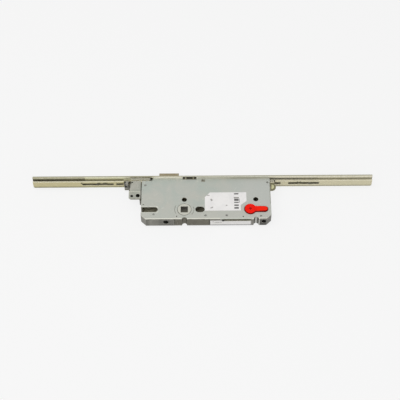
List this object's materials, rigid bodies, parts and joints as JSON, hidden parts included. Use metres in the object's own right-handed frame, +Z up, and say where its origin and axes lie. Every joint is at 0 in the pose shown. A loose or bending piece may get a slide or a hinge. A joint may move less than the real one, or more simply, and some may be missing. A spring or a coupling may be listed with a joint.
{
  "type": "multipoint door lock",
  "caption": "Main unit of a multipoint door lock: grey case with spindle and cylinder holes, sprung latch, deadbolt and slotted drive rods behind a long faceplate.",
  "frame": {"origin": "axis of the follower's spindle hole, half way through the case", "axes": "+X along the faceplate towards the door's lower end, +Y out through the faceplate, +Z up through the cover, with the lock lying on its side"},
  "size_m": [0.482, 0.0806, 0.024],
  "materials": {
    "case_zinc": "galvanised sheet, faintly mottled",
    "faceplate_zinc": "zinc plated, pale yellow passivate",
    "bolt_steel": "zinc plated, satin",
    "dark_steel": "dark olive, matt",
    "plain_steel": "plain steel, satin",
    "spring_steel": "drawn spring wire",
    "red_plastic": "moulded, slight gloss",
    "label_paper": "white sticker"
  },
  "bodies": {
    "case": {"faceplate": "faceplate_zinc", "case_tray": "case_zinc", "cover_plate": "case_zinc", "rear_spacer": "dark_steel", "case_rivets": "plain_steel", "case_screws": "plain_steel", "front_block_upper": "plain_steel", "front_block_mid": "dark_steel", "front_block_lower": "plain_steel", "guide_studs": "plain_steel", "guide_housing": "case_zinc", "guide_cover": "case_zinc", "rod_keeper": "plain_steel", "latch_spring_seat": "plain_steel", "latch_spring": "spring_steel", "follower_spring": "spring_steel", "bolt_guide_post": "plain_steel", "gear_post": "plain_steel", "pinion_post": "plain_steel", "face_label": "label_paper", "edge_label": "label_paper"},
    "handle_hub": {"follower": "plain_steel"},
    "latch_bolt": {"latch_head": "bolt_steel", "latch_tail": "plain_steel", "latch_pin": "plain_steel"},
    "lower_drive": {"lower_slide": "faceplate_zinc", "lower_rod": "faceplate_zinc", "lower_rod_pin": "plain_steel"},
    "upper_drive": {"upper_slide": "faceplate_zinc", "upper_rod": "faceplate_zinc", "upper_rod_pin": "plain_steel"},
    "dead_bolt": {"deadbolt": "bolt_steel", "deadbolt_pin": "plain_steel"},
    "key_wheel": {"drive_gear": "plain_steel", "cam_wheel": "plain_steel"},
    "turn_round_gear": {"reversing_pinion": "plain_steel"},
    "plug": {"cylinder_plug": "red_plastic"}
  },
  "joints": [
    {"name": "handle_turn", "type": "hinge", "parent": "case", "child": "handle_hub", "pos_m": [0, 0, 0], "axis": [0, 0, 1], "range_deg": [0, 40], "stiffness_Nm_per_rad": 0.6, "springref_deg": -20.05, "deforming": ["follower_spring"]},
    {"name": "latch_draw", "type": "slide", "parent": "case", "child": "latch_bolt", "axis": [0, -1, 0], "range_m": [0, 0.009], "deforming": ["latch_spring"]},
    {"name": "lower_rod_slide", "type": "slide", "parent": "case", "child": "lower_drive", "axis": [1, 0, 0], "range_m": [0, 0.01]},
    {"name": "upper_rod_slide", "type": "slide", "parent": "case", "child": "upper_drive", "axis": [-1, 0, 0], "range_m": [0, 0.01]},
    {"name": "deadbolt_slide", "type": "slide", "parent": "case", "child": "dead_bolt", "axis": [0, 1, 0], "range_m": [0, 0.02]},
    {"name": "key_wheel_turn", "type": "hinge", "parent": "case", "child": "key_wheel", "pos_m": [0.081, 0.019, 0], "axis": [0, 0, -1], "range_deg": [0, 55]},
    {"name": "pinion_turn", "type": "hinge", "parent": "case", "child": "turn_round_gear", "pos_m": [0.01, 0.0345, 0], "axis": [0, 0, 1], "range_deg": [0, 77]},
    {"name": "plug_pull", "type": "slide", "parent": "case", "child": "plug", "axis": [0, 0, 1], "range_m": [0, 0.025]}
  ],
  "couplings": [
    {"joint": "handle_turn", "follows": "latch_draw", "rad_per_m": 77.5},
    {"joint": "upper_rod_slide", "follows": "lower_rod_slide", "ratio": 1},
    {"joint": "deadbolt_slide", "follows": "lower_rod_slide", "ratio": 2},
    {"joint": "key_wheel_turn", "follows": "lower_rod_slide", "rad_per_m": 95.238},
    {"joint": "pinion_turn", "follows": "lower_rod_slide", "rad_per_m": 133.33}
  ]
}
